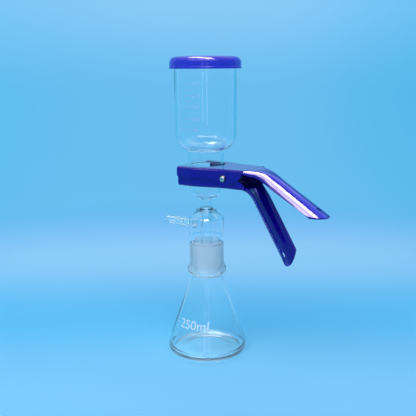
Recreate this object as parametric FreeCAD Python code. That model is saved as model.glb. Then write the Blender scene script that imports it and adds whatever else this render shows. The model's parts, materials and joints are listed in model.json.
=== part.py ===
"""Vacuum filtration unit: glass funnel and filter head on a conical flask, held by a sprung clamp.

Frame: origin at the centre of the flask's base, on the bench; +Z up; +X along the clamp's handles;
-X along the glass hose connection.  Millimetres.
"""
import FreeCAD, Part
import math
import os

V = FreeCAD.Vector

# ---------------------------------------------------------------- driving dimensions
# conical flask
FLASK_BASE_OD = 90.0
FLASK_HEIGHT = 129.0
FLASK_WALL = 2.2
FLASK_CORNER_R = 5.0
FLASK_HEEL_R = 8.0
FLASK_SHOULDER_Z = 12.5
FLASK_SHOULDER_R = 14.0
# ground joint between flask and filter head; its taper is 1 in 10 on diameter
JOINT_MOUTH_D = 34.5
JOINT_LENGTH = 35.0
JOINT_TAPER = 0.1
JOINT_STANDOFF = 3.0
JOINT_GAP = 0.10
SOCKET_WALL = 2.6
# bead under the socket
BEAD_BELOW_JOINT = 2.0
BEAD_OUT = 2.5
BEAD_HEIGHT = 10.0
BEAD_BAND = 4.5
BEAD_R = 3.5
BEAD_FADE_R = 8.0
NECK_WALL = 1.75
NECK_TO_BEAD = 4.6
# jacket of the filter head, above the ground joint
JACKET_STEP = 2.45
JACKET_STEP_HEIGHT = 5.0
JACKET_WALL = 2.2
JACKET_DOME_DROP = 6.0
JACKET_DOME_R = 6.5
RING_SEAL_HEIGHT = 33.5
RING_SEAL_OD = 23.4
RING_SEAL_BAND = 1.0
RING_SEAL_RISE = 4.0
RING_SEAL_BRIM = 2.6
RING_SEAL_R = 2.4
COLLAR_R = 1.0
# stem with its drip tip; its wall is also the bowl's above it
STEM_OD = 12.5
STEM_WALL = 2.0
STEM_BELOW_MOUTH = 28.0
DRIP_ANGLE = 30.0
# funnel part of the filter head, up to the sealing face
HEAD_HEIGHT = 77.0
HEAD_FLANGE = 9.3
HEAD_CONE_OD = 30.6
HEAD_CONE_DROP = 24.5
HEAD_CONE_R = 6.5
THROAT_DROP = 30.3
THROAT_R = 2.5
# hose connection
ARM_HEIGHT = 17.4
ARM_REACH = 59.0
ARM_OD = 8.4
ARM_BORE = 4.6
ARM_TIP_OD = 7.6
ARM_FLARE = 1.8
ARM_FLARE_LENGTH = 4.5
BARB_OD = 10.6
BARB_TIP_OD = 8.8
BARB_COUNT = 6
BARB_LENGTH = 29.0
BARB_FACE = 0.22
# membrane filter, the frit under it and the flanges that grip it
MEMBRANE_D = 47.0
MEMBRANE_THICK = 0.2
MEMBRANE_BORDER = 5.3
FRIT_THICK = 3.0
FRIT_GAP = 0.10
FRIT_LEDGE = 1.8
FLANGE_BORDER = 4.2
# funnel cup
CUP_FLANGE = 8.7
CUP_OD = 68.8
CUP_WALL = 2.2
CUP_HEIGHT = 124.3
NECK_LENGTH = 26.5
NECK_GAP = 0.1
NECK_FILLET_R = 5.0
BOWL_RISE = 7.0
BOWL_FLAT = 0.5
# lid
LID_GAP = 1.25
LID_WALL = 4.2
LID_DEPTH = 14.5
LID_TOP_THICK = 3.6
LID_CROWN = 2.0
LID_EDGE_R = 6.5
LID_LIP = 0.5
LID_LIP_HEIGHT = 2.2
# clamp sheet and its fits
SHEET = 1.5
BEND_R = 3.0
JAW_GAP = 0.3
SIDE_GAP = 0.6
SLOT_CLEARANCE = 1.5
FLANGE_CLEARANCE = 1.35
# clamp jaws in plan
TINE_LENGTH = 16.0
TAPER_RUN = 30.0
TAPER_START_R = 25.0
TAPER_END_R = 18.0
FLANGE_TO_TAPER_END = 5.3
TINE_TO_BODY = 8.65
BODY_TO_SHOULDER = 1.4
TAPER_TO_PIVOT = 6.5
PIVOT_TO_SHOULDER = 23.9
# clamp jaws in side view: wall heights, and the ears round the pivot
PIVOT_RAISE = 0.55
TINE_CORNER_R = 2.0
EAR_BLEND_R = 6.0
UPPER_WALL = 11.1
UPPER_EAR_R = 8.7
UPPER_EAR_FRONT = 13.5
UPPER_REAR_WALL = 9.4
UPPER_REAR_RUN = 4.0
UPPER_END_WALL = 3.2
LOWER_WALL = 12.8
LOWER_EAR_R = 7.8
LOWER_EAR_FRONT = 12.0
LOWER_REAR_WALL = 11.0
LOWER_REAR_RUN = 8.0
LOWER_END_WALL = 6.0
REAR_CORNER_R = 4.0
# handles: channel sections that open out into arches, narrow enough for one hand
HANDLE_WIDTH = 30.0
HANDLE_CREST = 1.0
HANDLE_HEM = 0.3
UPPER_START = 7.5
UPPER_NARROWING = 27.0
UPPER_OPENING = 48.0
UPPER_BEND_RUN = 18.6
UPPER_BEND_R = 50.0
UPPER_SLOPE = 30.5
UPPER_LENGTH = 83.1
UPPER_ARCH = 9.2
UPPER_TIP_ARCH = 7.4
LOWER_START = 10.2
LOWER_NARROWING = 19.0
LOWER_OPENING = 26.0
LOWER_BEND_SETBACK = 5.2
LOWER_BEND_R = 14.0
LOWER_SLOPE = 58.1
LOWER_LENGTH = 94.0
LOWER_ARCH = 9.6
LOWER_TIP_ARCH = 9.2
TIP_LENGTH = 21.0
HOLE_D = 6.0
HOLE_FROM_TIP = 13.4
# pivot rivet and spring
RIVET_D = 6.0
RIVET_HEAD_D = 8.2
RIVET_HEAD_HEIGHT = 2.6
RIVET_GAP = 0.06
RIVET_HEAD_GAP = 0.15
WIRE_D = 2.0
COIL_GAP = 0.35
COIL_PITCH = 2.5
COIL_TURNS = 4
LEG_GAP = 0.25
UPPER_LEG = 15.0
LOWER_LEG = 10.0
# construction: sections along a handle, how far cuts and blanks run past what they trim,
# and how far a handle's crown sits below its plate's face so that the two fuse cleanly
SECTIONS = 24
OVERRUN = 2.0
BLANK_RUN = 8.0
FUSE_SINK = 0.05

# ---------------------------------------------------------------- derived sizes and levels
FRIT_D = MEMBRANE_D - 2 * MEMBRANE_BORDER
NECK_OD = FRIT_D + 2 * (NECK_GAP + CUP_WALL)
FLANGE_OD = MEMBRANE_D + 2 * FLANGE_BORDER
LID_OD = CUP_OD + 2 * (LID_GAP + LID_WALL)
JOINT_TOP_Z = FLASK_HEIGHT + JOINT_STANDOFF
JOINT_END_Z = JOINT_TOP_Z - JOINT_LENGTH
SEAL_Z = JOINT_TOP_Z + HEAD_HEIGHT
HEAD_FLANGE_Z = SEAL_Z - HEAD_FLANGE
CUP_Z = SEAL_Z + MEMBRANE_THICK
CUP_FLANGE_Z = CUP_Z + CUP_FLANGE
RIM_Z = CUP_Z + CUP_HEIGHT
ARM_Z = JOINT_TOP_Z + ARM_HEIGHT
DRIP_Z = FLASK_HEIGHT - STEM_BELOW_MOUTH
LOWER_Z = HEAD_FLANGE_Z - SHEET
UPPER_Z = CUP_FLANGE_Z + JAW_GAP + SHEET
PIVOT_Z = (LOWER_Z + UPPER_Z) / 2 + PIVOT_RAISE
SLOT_R = NECK_OD / 2 + SLOT_CLEARANCE
NEST = SHEET + SIDE_GAP
TINE_HALF_WIDTH = FLANGE_OD / 2 + FLANGE_CLEARANCE + SHEET + NEST
BODY_HALF_WIDTH = TINE_HALF_WIDTH - TINE_TO_BODY
SHOULDER_HALF_WIDTH = BODY_HALF_WIDTH - BODY_TO_SHOULDER
TAPER_END = FLANGE_OD / 2 + FLANGE_TO_TAPER_END
TAPER_START = TAPER_END - TAPER_RUN
PIVOT_X = TAPER_END + TAPER_TO_PIVOT
SHOULDER_X = PIVOT_X + PIVOT_TO_SHOULDER
UPPER_BEND_X = SHOULDER_X + UPPER_BEND_RUN
LOWER_BEND_X = SHOULDER_X - LOWER_BEND_SETBACK
COIL_R = RIVET_D / 2 + COIL_GAP + WIRE_D / 2


# ---------------------------------------------------------------- outlines
def unit(a, b):
    length = math.hypot(b[0] - a[0], b[1] - a[1])
    return (b[0] - a[0]) / length, (b[1] - a[1]) / length


def rounded_edges(corners, closed):
    """Edges in the XZ plane through corners (x, z, radius), each corner rounded by its radius."""
    n = len(corners)
    starts, ends, arcs = [], [], []
    for i, (x, z, radius) in enumerate(corners):
        inner = closed or 0 < i < n - 1
        if not inner or radius == 0:
            starts.append((x, z))
            ends.append((x, z))
            arcs.append(None)
            continue
        back = unit((x, z), corners[i - 1])
        ahead = unit((x, z), corners[(i + 1) % n])
        half = math.acos(max(-1.0, min(1.0, back[0] * ahead[0] + back[1] * ahead[1]))) / 2
        run = radius / math.tan(half)
        bisector = unit((0, 0), (back[0] + ahead[0], back[1] + ahead[1]))
        reach = radius / math.sin(half) - radius
        starts.append((x + back[0] * run, z + back[1] * run))
        ends.append((x + ahead[0] * run, z + ahead[1] * run))
        arcs.append((x + bisector[0] * reach, z + bisector[1] * reach))
    edges = []
    for i in range(n):
        if arcs[i]:
            points = [V(p[0], 0, p[1]) for p in (starts[i], arcs[i], ends[i])]
            edges.append(Part.Arc(*points).toShape())
        if i < n - 1 or closed:
            a, b = ends[i], starts[(i + 1) % n]
            if math.hypot(b[0] - a[0], b[1] - a[1]) > 1e-6:
                edges.append(Part.LineSegment(V(a[0], 0, a[1]), V(b[0], 0, b[1])).toShape())
    return edges


def face_of(corners):
    return Part.Face(Part.Wire(rounded_edges(corners, True)))


def turned(corners):
    """Solid of revolution about Z from a closed outline of (radius, z, corner radius)."""
    return face_of(corners).revolve(V(0, 0, 0), V(0, 0, 1), 360)


def offset_path(corners, distance):
    """The same open path moved sideways by distance to its left, with its corner radii adjusted."""
    moved = []
    n = len(corners)
    for i, (x, z, radius) in enumerate(corners):
        before = unit(corners[i - 1], corners[i]) if i > 0 else None
        after = unit(corners[i], corners[i + 1]) if i < n - 1 else None
        a, b = before or after, after or before
        turn = a[0] * b[1] - a[1] * b[0]
        cosine = a[0] * b[0] + a[1] * b[1]
        shift = distance / (1 + cosine)
        x2 = x + shift * (-a[1] - b[1])
        z2 = z + shift * (a[0] + b[0])
        if radius:
            radius = max(0.2, radius - distance if turn > 0 else radius + distance)
        moved.append((x2, z2, radius))
    return moved


def joint_radius(z):
    """Radius of the socket's ground bore at height z."""
    return JOINT_MOUTH_D / 2 + (z - FLASK_HEIGHT) * JOINT_TAPER / 2


def jacket_radius():
    return joint_radius(JOINT_TOP_Z) + JACKET_STEP


# ---------------------------------------------------------------- glass
def flask():
    """Conical flask with a ground socket and a bead under it, blown as one piece."""
    base_r = FLASK_BASE_OD / 2
    socket_r = JOINT_MOUTH_D / 2 + SOCKET_WALL
    bead_r = socket_r + BEAD_OUT
    bead_z = JOINT_END_Z - BEAD_BELOW_JOINT
    body = [(0, 0, 0),
            (base_r, 0, FLASK_CORNER_R),
            (base_r, FLASK_SHOULDER_Z, FLASK_SHOULDER_R),
            (joint_radius(bead_z) + NECK_WALL, bead_z - NECK_TO_BEAD, 0)]
    socket = [(bead_r, bead_z, BEAD_R),
              (bead_r, bead_z + BEAD_BAND, BEAD_R),
              (socket_r, bead_z + BEAD_HEIGHT, BEAD_FADE_R),
              (socket_r, FLASK_HEIGHT, 0),
              (joint_radius(FLASK_HEIGHT), FLASK_HEIGHT, 0),
              (joint_radius(bead_z), bead_z, 0)]
    top, shoulder, (heel_x, heel_z, _), middle = offset_path(body, FLASK_WALL)[::-1]
    inside = [top, shoulder, (heel_x, heel_z, FLASK_HEEL_R), middle]
    return turned(body + socket + inside)


def jacket_wall():
    """Outer face of the jacket, going up from its step over the dome and the ring seal to the stem."""
    ring_z = JOINT_TOP_Z + RING_SEAL_HEIGHT
    ring_r = RING_SEAL_OD / 2
    dome_z = ring_z - RING_SEAL_BAND
    return [(jacket_radius(), JOINT_TOP_Z + JACKET_STEP_HEIGHT, 0),
            (jacket_radius(), dome_z - JACKET_DOME_DROP, JACKET_DOME_R),
            (ring_r, dome_z, 0),
            (ring_r, ring_z + RING_SEAL_BRIM, RING_SEAL_R),
            (STEM_OD / 2, ring_z + RING_SEAL_RISE, 0)]


def bowl_wall():
    """Outer face of the stem and the bowl above it, going up to the flange."""
    return [(STEM_OD / 2, DRIP_Z, 0),
            (STEM_OD / 2, SEAL_Z - THROAT_DROP, THROAT_R),
            (HEAD_CONE_OD / 2, SEAL_Z - HEAD_CONE_DROP, HEAD_CONE_R),
            (NECK_OD / 2, HEAD_FLANGE_Z, 0)]


def head_outside():
    """Outline of the filter head's outer face, from the frit's recess down to the ground cone."""
    flange = [(FRIT_D / 2 + FRIT_GAP, SEAL_Z, 0),
              (FLANGE_OD / 2, SEAL_Z, 0),
              (FLANGE_OD / 2, HEAD_FLANGE_Z, 0)]
    return flange + bowl_wall()[:0:-1] + jacket_wall()[::-1]


def head_inside():
    """Outline of the head's inner faces, from the jacket up round the stem and into the chamber."""
    stem_r = STEM_OD / 2
    collar_z = JOINT_TOP_Z + RING_SEAL_HEIGHT + RING_SEAL_BRIM - JACKET_WALL
    recess_z = SEAL_Z - FRIT_THICK
    ledge_r = FRIT_D / 2 - FRIT_LEDGE
    jacket = offset_path(jacket_wall(), JACKET_WALL)[:3]
    bowl = offset_path(bowl_wall(), STEM_WALL)[:3]
    collar = [(RING_SEAL_OD / 2 - JACKET_WALL, collar_z, COLLAR_R),
              (stem_r, collar_z, 0),
              (stem_r, DRIP_Z, 0)]
    seat = [(ledge_r, HEAD_FLANGE_Z, 0),
            (ledge_r, recess_z, 0),
            (FRIT_D / 2 + FRIT_GAP, recess_z, 0)]
    return jacket + collar + bowl + seat


def ground_cone():
    """Outline of the ground cone below the jacket, outside then inside."""
    return [(joint_radius(JOINT_TOP_Z) - JOINT_GAP, JOINT_TOP_Z, 0),
            (joint_radius(JOINT_END_Z) - JOINT_GAP, JOINT_END_Z, 0),
            (joint_radius(JOINT_END_Z) - JACKET_WALL, JOINT_END_Z, 0),
            (joint_radius(JOINT_TOP_Z) - JACKET_WALL, JOINT_TOP_Z, 0)]


def hose_barb():
    """Barbed hose connection as a solid of revolution about its own axis, before its bore is cut."""
    root_x = JACKET_WALL / 2 - jacket_radius()
    barbs_x = BARB_LENGTH - ARM_REACH
    pitch = BARB_LENGTH / BARB_COUNT
    corners = [(root_x, ARM_Z, 0),
               (root_x, ARM_Z + ARM_OD / 2 + ARM_FLARE, 0),
               (root_x - ARM_FLARE_LENGTH, ARM_Z + ARM_OD / 2, 0)]
    for i in range(BARB_COUNT):
        share = i / (BARB_COUNT - 1)
        crest = (BARB_OD + share * (BARB_TIP_OD - BARB_OD)) / 2
        valley = (ARM_OD + share * (ARM_TIP_OD - ARM_OD)) / 2
        x = barbs_x - i * pitch
        corners.append((x, ARM_Z + valley, 0))
        corners.append((x - BARB_FACE * pitch, ARM_Z + crest, 0))
    corners.append((-ARM_REACH, ARM_Z + ARM_TIP_OD / 2, 0))
    corners.append((-ARM_REACH, ARM_Z, 0))
    return face_of(corners).revolve(V(0, 0, ARM_Z), V(1, 0, 0), 360)


def filter_head():
    """Filter head as one piece of glass, with its hose connection and a slanted drip tip."""
    glass = turned(head_outside() + ground_cone() + head_inside()).fuse(hose_barb())
    bore_end = jacket_radius() - JACKET_WALL - OVERRUN
    bore_start = ARM_REACH + OVERRUN
    bore = Part.makeCylinder(ARM_BORE / 2, bore_start - bore_end, V(-bore_start, 0, ARM_Z), V(1, 0, 0))
    half = STEM_OD / 2 + OVERRUN
    slant = Part.makeBox(4 * half, 2 * half, 4 * half, V(-2 * half, -half, -4 * half))
    slant.rotate(V(0, 0, 0), V(0, 1, 0), DRIP_ANGLE)
    slant.translate(V(0, 0, DRIP_Z + STEM_OD / 2 * math.tan(math.radians(DRIP_ANGLE))))
    return glass.cut(bore).cut(slant).removeSplitter()


def fritted_disc():
    """Sintered glass support in the head's recess, flush with the flange."""
    return Part.makeCylinder(FRIT_D / 2, FRIT_THICK, V(0, 0, SEAL_Z - FRIT_THICK))


def membrane_filter():
    return Part.makeCylinder(MEMBRANE_D / 2, MEMBRANE_THICK, V(0, 0, SEAL_Z))


def funnel_cup():
    """Graduated funnel: flange, neck, rounded bowl and straight wall, open at both ends."""
    neck_r = NECK_OD / 2
    bowl_z = SEAL_Z + NECK_LENGTH
    flare = CUP_OD / 2 - neck_r
    half_turn = (math.pi / 2 - math.atan2(BOWL_RISE, flare)) / 2
    arc_room = math.hypot(flare, BOWL_RISE) - BOWL_FLAT - NECK_FILLET_R * math.tan(half_turn)
    bowl_r = arc_room / math.tan(half_turn)
    wall = [(neck_r, CUP_FLANGE_Z, 0),
            (neck_r, bowl_z, NECK_FILLET_R),
            (CUP_OD / 2, bowl_z + BOWL_RISE, bowl_r),
            (CUP_OD / 2, RIM_Z, 0)]
    flange = [(neck_r - CUP_WALL, CUP_Z, 0),
              (FLANGE_OD / 2, CUP_Z, 0),
              (FLANGE_OD / 2, CUP_FLANGE_Z, 0)]
    inside = offset_path(wall, CUP_WALL)[:0:-1]
    return turned(flange + wall + inside)


def funnel_lid():
    """Moulded lid that drops over the cup: crowned top, rounded edge and a lip at the hem."""
    top = RIM_Z + LID_TOP_THICK
    hem = top + LID_CROWN - LID_DEPTH
    lip_r = LID_OD / 2
    skin_r = lip_r - LID_LIP
    bore_r = lip_r - LID_WALL
    return turned([(0, top + LID_CROWN, 0),
                   (skin_r, top, LID_EDGE_R),
                   (skin_r, hem + LID_LIP_HEIGHT, 0),
                   (lip_r, hem + LID_LIP_HEIGHT, 0),
                   (lip_r, hem, 0),
                   (bore_r, hem, 0),
                   (bore_r, RIM_Z, 0),
                   (0, RIM_Z, 0)])


# ---------------------------------------------------------------- clamp sheet
def body_half_width(x):
    """Half width of the upper jaw, outside its walls, at x behind the taper."""
    slope = (BODY_HALF_WIDTH - SHOULDER_HALF_WIDTH) / (SHOULDER_X - TAPER_END)
    return BODY_HALF_WIDTH - slope * (x - TAPER_END)


def side_line(inset):
    """Plan line of a jaw's +Y side from tine tip to shoulder, run on past both ends, moved inwards."""
    end_x = SHOULDER_X + BLANK_RUN
    line = [(-TINE_LENGTH - BLANK_RUN, TINE_HALF_WIDTH, 0),
            (TAPER_START, TINE_HALF_WIDTH, TAPER_START_R),
            (TAPER_END, BODY_HALF_WIDTH, TAPER_END_R),
            (end_x, body_half_width(end_x), 0)]
    return offset_path(line, -inset)


def pressing(inset, bend, top, depth, up):
    """Solid block of a jaw's plan, its long upper (up) or lower edges rounded by the sheet's bend."""
    line = side_line(inset)
    mirrored = [(x, -y, radius) for x, y, radius in reversed(line)]
    face = face_of(line + mirrored)
    face.rotate(V(0, 0, 0), V(1, 0, 0), 90)
    face.translate(V(0, 0, top))
    block = face.extrude(V(0, 0, -depth if up else depth))
    long_edges = []
    for edge in block.Edges:
        ends = [vertex.Point for vertex in edge.Vertexes]
        level = all(abs(point.z - top) < 1e-6 for point in ends)
        if level and abs(ends[0].x - ends[1].x) > 1.0:
            long_edges.append(edge)
    return block.makeFillet(bend, long_edges)


def tray(inset, level, up):
    """Open-ended pressed channel of a jaw, walls down (up) or walls up, before trimming."""
    depth = UPPER_Z - LOWER_Z + BLANK_RUN
    inner_level = level - SHEET if up else level + SHEET
    outer = pressing(inset, BEND_R, level, depth, up)
    inner = pressing(inset + SHEET, BEND_R - SHEET, inner_level, depth, up)
    return outer.cut(inner)


def tangent_point(point, centre, radius, side):
    """Where the line from point touches the circle; side +1 turns to the left from the centre's view."""
    direction = unit(centre, point)
    distance = math.hypot(point[0] - centre[0], point[1] - centre[1])
    angle = side * math.acos(radius / distance)
    x = direction[0] * math.cos(angle) - direction[1] * math.sin(angle)
    z = direction[0] * math.sin(angle) + direction[1] * math.cos(angle)
    return centre[0] + radius * x, centre[1] + radius * z


def side_profile(corners, ear_r):
    """Full-width block with the side view of a jaw's walls, its ear rounded about the pivot."""
    span = 2 * (TINE_HALF_WIDTH + OVERRUN)
    blank = face_of(corners).extrude(V(0, span, 0))
    ear = Part.makeCylinder(ear_r, span, V(PIVOT_X, 0, PIVOT_Z), V(0, 1, 0))
    block = blank.fuse(ear)
    block.translate(V(0, -span / 2, 0))
    return block


def upper_profile():
    """Side view of the upper jaw: shallow along the tines, an ear at the pivot, rising to the shoulder."""
    over = UPPER_Z + OVERRUN
    edge_z = UPPER_Z - UPPER_WALL
    pivot = (PIVOT_X, PIVOT_Z)
    front = (PIVOT_X - UPPER_EAR_FRONT, edge_z)
    rear = (SHOULDER_X - UPPER_REAR_RUN, UPPER_Z - UPPER_REAR_WALL)
    front_touch = tangent_point(front, pivot, UPPER_EAR_R, 1)
    rear_touch = tangent_point(rear, pivot, UPPER_EAR_R, -1)
    return side_profile([(-TINE_LENGTH, over, 0),
                         (-TINE_LENGTH, edge_z, TINE_CORNER_R),
                         (*front, EAR_BLEND_R),
                         (*front_touch, 0),
                         (*pivot, 0),
                         (*rear_touch, 0),
                         (*rear, REAR_CORNER_R),
                         (SHOULDER_X, UPPER_Z - UPPER_END_WALL, 0),
                         (SHOULDER_X, over, 0)], UPPER_EAR_R)


def lower_profile():
    """Side view of the lower jaw: walls inside the upper ones, an ear, and a rounded rear corner."""
    under = LOWER_Z - OVERRUN
    edge_z = LOWER_Z + LOWER_WALL
    pivot = (PIVOT_X, PIVOT_Z)
    front = (PIVOT_X - LOWER_EAR_FRONT, edge_z)
    rear = (SHOULDER_X - LOWER_REAR_RUN, LOWER_Z + LOWER_REAR_WALL)
    front_touch = tangent_point(front, pivot, LOWER_EAR_R, -1)
    rear_touch = tangent_point(rear, pivot, LOWER_EAR_R, 1)
    return side_profile([(-TINE_LENGTH, under, 0),
                         (SHOULDER_X, under, 0),
                         (SHOULDER_X, LOWER_Z + LOWER_END_WALL, REAR_CORNER_R),
                         (*rear, REAR_CORNER_R),
                         (*rear_touch, 0),
                         (*pivot, 0),
                         (*front_touch, 0),
                         (*front, EAR_BLEND_R),
                         (-TINE_LENGTH, edge_z, TINE_CORNER_R)], LOWER_EAR_R)


def fork_slot():
    """Slot for the glass neck between the tines, rounded about the glass's axis."""
    low = LOWER_Z - OVERRUN
    tall = UPPER_Z + OVERRUN - low
    length = TINE_LENGTH + OVERRUN
    round_end = Part.makeCylinder(SLOT_R, tall, V(0, 0, low))
    mouth = Part.makeBox(length, 2 * SLOT_R, tall, V(-length, -SLOT_R, low))
    return round_end.fuse(mouth)


def pivot_bore():
    """Hole for the rivet through both of a jaw's ears."""
    span = 2 * (BODY_HALF_WIDTH + OVERRUN)
    radius = RIVET_D / 2 + RIVET_GAP
    return Part.makeCylinder(radius, span, V(PIVOT_X, -span / 2, PIVOT_Z), V(0, 1, 0))


# ---------------------------------------------------------------- handles
class Crown:
    """Crown line of a handle in the XZ plane: level, round a bend, then straight to the tip."""

    def __init__(self, level, up, start_x, corner_x, bend_r, slope, length):
        self.up = 1 if up else -1
        self.level = level
        self.slope = math.radians(slope)
        self.bend_r = bend_r
        run = bend_r * math.tan(self.slope / 2)
        self.start_x = start_x
        self.bend_s = corner_x - run - start_x
        self.straight_s = self.bend_s + bend_r * self.slope
        self.tip_s = self.straight_s + length - run

    def at(self, s):
        """Point on the crown, its direction and the direction from the crown into the hollow."""
        turned_by = min(max(s - self.bend_s, 0) / self.bend_r, self.slope)
        x = self.start_x + min(s, self.bend_s) + self.bend_r * math.sin(turned_by)
        drop = self.bend_r * (1 - math.cos(turned_by))
        beyond = max(s - self.straight_s, 0)
        x += beyond * math.cos(turned_by)
        drop += beyond * math.sin(turned_by)
        along = V(math.cos(turned_by), 0, -math.sin(turned_by))
        outward = V(math.sin(turned_by), 0, math.cos(turned_by)) * self.up
        return V(x, 0, self.level - drop), along, outward * -1


def smooth_share(value):
    value = min(max(value, 0.0), 1.0)
    return value * value * (3 - 2 * value)


def section_wires(place, inward, width, crest, lean):
    """Section of a handle's sheet, and of the hollow under it, at a point on the crown.

    The crest is flat, the corners are round, and the flanks and their hems lean from it by an angle.
    """
    radius = (width / 2 - crest / 2 - HANDLE_HEM * math.cos(lean)) / math.sin(lean)

    def point(side, arc_radius, angle, hem=0.0):
        across = crest / 2 + arc_radius * math.sin(angle) + hem * math.cos(lean)
        lift = radius - arc_radius * math.cos(angle) + hem * math.sin(lean)
        return place + V(0, side * across, 0) + inward * lift

    def half(side, arc_radius):
        """Crest end, round corner and hem of one side."""
        stations = [point(side, arc_radius, lean * share) for share in (0, 0.5, 1)]
        hem_end = point(side, arc_radius, lean, HANDLE_HEM)
        return stations, hem_end

    def face_line(arc_radius):
        """Edges of the whole face, from the left hem to the right one, and its two ends."""
        left, left_end = half(-1, arc_radius)
        right, right_end = half(1, arc_radius)
        edges = [Part.LineSegment(left_end, left[2]), Part.Arc(*left[::-1]),
                 Part.LineSegment(left[0], right[0]), Part.Arc(*right),
                 Part.LineSegment(right[2], right_end)]
        return [edge.toShape() for edge in edges], left_end, right_end

    outer, outer_left, outer_right = face_line(radius)
    inner, inner_left, inner_right = face_line(radius - SHEET)
    hems = [Part.LineSegment(outer_right, inner_right).toShape(),
            Part.LineSegment(inner_left, outer_left).toShape()]
    sheet = Part.Wire(Part.__sortEdges__(outer + hems + inner))
    reach = inward * (SHEET + OVERRUN)
    rest = [Part.LineSegment(inner_right, inner_right + reach).toShape(),
            Part.LineSegment(inner_right + reach, inner_left + reach).toShape(),
            Part.LineSegment(inner_left + reach, inner_left).toShape()]
    hollow = Part.Wire(Part.__sortEdges__(inner + rest))
    return sheet, hollow


def handle(crown, start_width, narrowing, opening, arch, tip_arch):
    """Handle that grows out of a jaw's plate as a channel and opens into an arch, and its hollow."""
    tail = crown.tip_s + OVERRUN
    sheets, hollows = [], []
    for station in range(SECTIONS + 1):
        s = tail * station / SECTIONS
        place, along, inward = crown.at(s)
        narrowed = smooth_share(s / narrowing)
        opened = smooth_share(s / opening)
        slimmed = max(s - opening, 0) / (tail - opening)
        width = start_width + narrowed * (HANDLE_WIDTH - start_width)
        crest = (1 - opened) * (width - 2 * BEND_R) + opened * HANDLE_CREST
        depth = arch + slimmed * (tip_arch - arch)
        arch_lean = 2 * math.atan(2 * depth / HANDLE_WIDTH)
        lean = math.pi / 2 + opened * (arch_lean - math.pi / 2)
        sheet, hollow = section_wires(place, inward, width, crest, lean)
        sheets.append(sheet)
        hollows.append(hollow)
    body = Part.makeLoft(sheets, True, False)
    hollow = Part.makeLoft(hollows, True, False)
    return body.cut(tip_trim(crown)), hollow


def tip_trim(crown):
    """What is cut from a handle's end: all beyond a tapering round tip, and the hanging hole."""
    half = HANDLE_WIDTH / 2
    centre, along, inward = crown.at(crown.tip_s - TIP_LENGTH)
    hole_at = crown.at(crown.tip_s - HOLE_FROM_TIP)[0]
    tall = 2 * HANDLE_WIDTH
    beyond = Part.makeBox(2 * TIP_LENGTH, 4 * half, tall, V(0, -2 * half, -tall / 2))
    outline = Part.Ellipse(V(0, 0, -tall / 2), TIP_LENGTH, half).toShape()
    tongue = Part.Face(Part.Wire([outline])).extrude(V(0, 0, tall))
    waste = beyond.cut(tongue)
    waste.Placement = FreeCAD.Placement(centre, FreeCAD.Rotation(along, V(0, 1, 0), inward, "ZXY"))
    hole = Part.makeCylinder(HOLE_D / 2, tall, hole_at - inward * (tall / 2), inward)
    return waste.fuse(hole)


def clamp_upper_jaw():
    """Upper half of the clamp: forked plate with side walls, running into an arched handle."""
    crown = Crown(UPPER_Z - FUSE_SINK, True, SHOULDER_X - UPPER_START,
                  UPPER_BEND_X, UPPER_BEND_R, UPPER_SLOPE, UPPER_LENGTH)
    start_width = 2 * (SHOULDER_HALF_WIDTH - FUSE_SINK)
    grip, hollow = handle(crown, start_width, UPPER_NARROWING, UPPER_OPENING, UPPER_ARCH, UPPER_TIP_ARCH)
    plate = tray(0, UPPER_Z, True).common(upper_profile())
    plate = plate.cut(fork_slot()).cut(pivot_bore())
    return plate.cut(hollow).fuse(grip).removeSplitter()


def clamp_lower_jaw():
    """Lower half of the clamp, nested between the upper one's walls, with its steeper handle."""
    crown = Crown(LOWER_Z + FUSE_SINK, False, LOWER_BEND_X - LOWER_START,
                  LOWER_BEND_X, LOWER_BEND_R, LOWER_SLOPE, LOWER_LENGTH)
    start_width = 2 * (SHOULDER_HALF_WIDTH - NEST - FUSE_SINK)
    grip, hollow = handle(crown, start_width, LOWER_NARROWING, LOWER_OPENING, LOWER_ARCH, LOWER_TIP_ARCH)
    plate = tray(NEST, LOWER_Z, False).common(lower_profile())
    plate = plate.cut(fork_slot()).cut(pivot_bore())
    return plate.cut(hollow).fuse(grip).removeSplitter()


# ---------------------------------------------------------------- pivot
def pivot_rivet():
    """Rivet along Y through all four walls, with a domed head at each end."""
    seat = body_half_width(PIVOT_X - RIVET_HEAD_D / 2) + RIVET_HEAD_GAP
    head_r = RIVET_HEAD_D / 2
    dome_r = (head_r ** 2 + RIVET_HEAD_HEIGHT ** 2) / (2 * RIVET_HEAD_HEIGHT)
    blank = Part.makeCylinder(head_r, RIVET_HEAD_HEIGHT, V(0, 0, seat))
    dome = Part.makeSphere(dome_r, V(0, 0, seat + RIVET_HEAD_HEIGHT - dome_r))
    head = blank.common(dome)
    tail = head.mirror(V(0, 0, 0), V(0, 0, 1))
    shank = Part.makeCylinder(RIVET_D / 2, 2 * seat, V(0, 0, -seat))
    rivet = shank.fuse([head, tail]).removeSplitter()
    rivet.rotate(V(0, 0, 0), V(1, 0, 0), 90)
    rivet.translate(V(PIVOT_X, 0, PIVOT_Z))
    return rivet


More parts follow.
